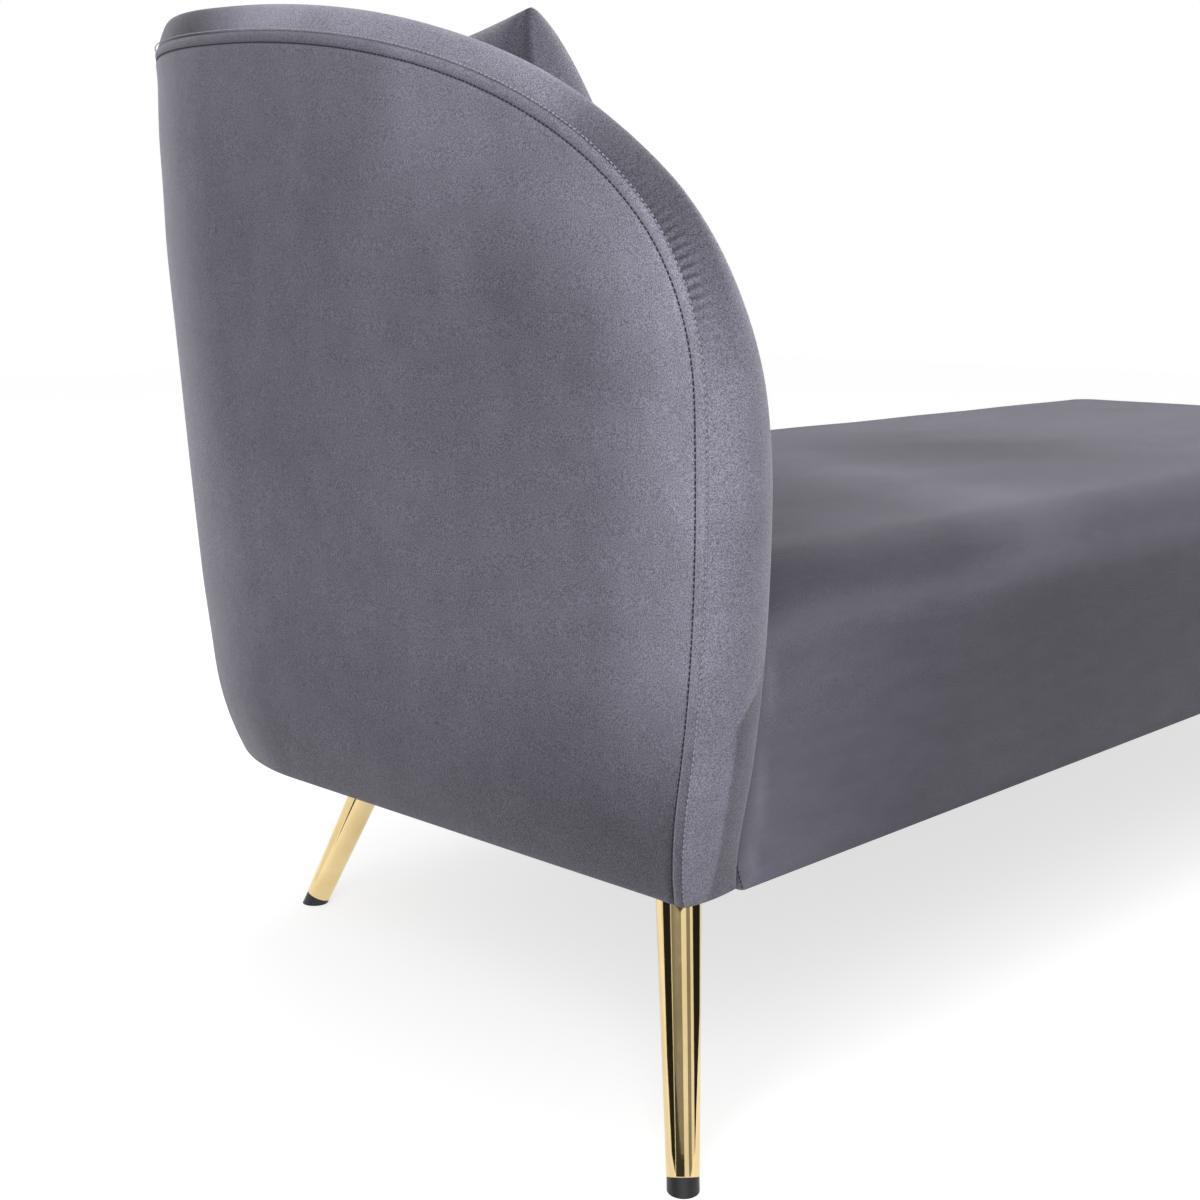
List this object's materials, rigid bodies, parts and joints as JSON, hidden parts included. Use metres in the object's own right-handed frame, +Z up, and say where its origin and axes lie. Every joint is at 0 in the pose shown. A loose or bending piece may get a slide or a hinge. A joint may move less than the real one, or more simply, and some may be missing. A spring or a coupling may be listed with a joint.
{
  "type": "chaise longue",
  "caption": "Upholstered chaise longue with a rounded shell back that wraps a rear corner, a long flat seat, splayed tapered metal legs and a loose square pillow.",
  "frame": {"origin": "on the floor, under the middle of the whole piece's box", "axes": "+X from the head to the foot end, +Y from the right side to the left, where the back wraps the corner, +Z up"},
  "size_m": [1.8332, 0.828, 0.872],
  "materials": {
    "velvet": "matte",
    "gold": "polished",
    "black_plastic": "satin",
    "beech": "matte",
    "plywood": "matte",
    "steel": "satin",
    "webbing": "matte",
    "felt": "matte",
    "foam": "matte",
    "black_cloth": "matte",
    "fibre": "matte"
  },
  "bodies": {
    "chaise": {"rail_right": "beech", "rail_left": "beech", "rail_head": "beech", "rail_foot": "beech", "head_bend": "plywood", "foot_bends": "plywood", "cross_rails": "beech", "corner_blocks": "beech", "frame_dowels": "beech", "leg_plates": "steel", "plate_screws": "steel", "leg_rear_right": "gold", "leg_rear_left": "gold", "leg_foot_right": "gold", "leg_foot_left": "gold", "tip_rear_right": "black_plastic", "tip_rear_left": "black_plastic", "tip_foot_right": "black_plastic", "tip_foot_left": "black_plastic", "webbing_cross": "webbing", "webbing_long": "webbing", "seat_felt": "felt", "seat_foam": "foam", "side_padding": "foam", "seat_cover": "velvet", "dust_cover": "black_cloth", "shell_panel": "plywood", "shell_screws": "steel", "outside_felt": "felt", "outside_cover": "velvet", "inside_foam": "foam", "inside_cover": "velvet", "edge_roll": "foam", "band_cover": "velvet"},
    "pillow": {"pillow_cover": "velvet", "pillow_filling": "fibre"}
  },
  "joints": [
    {"name": "pillow_lift", "type": "slide", "parent": "chaise", "child": "pillow", "axis": [0, 0, 1], "range_m": [0, 0.5]}
  ]
}
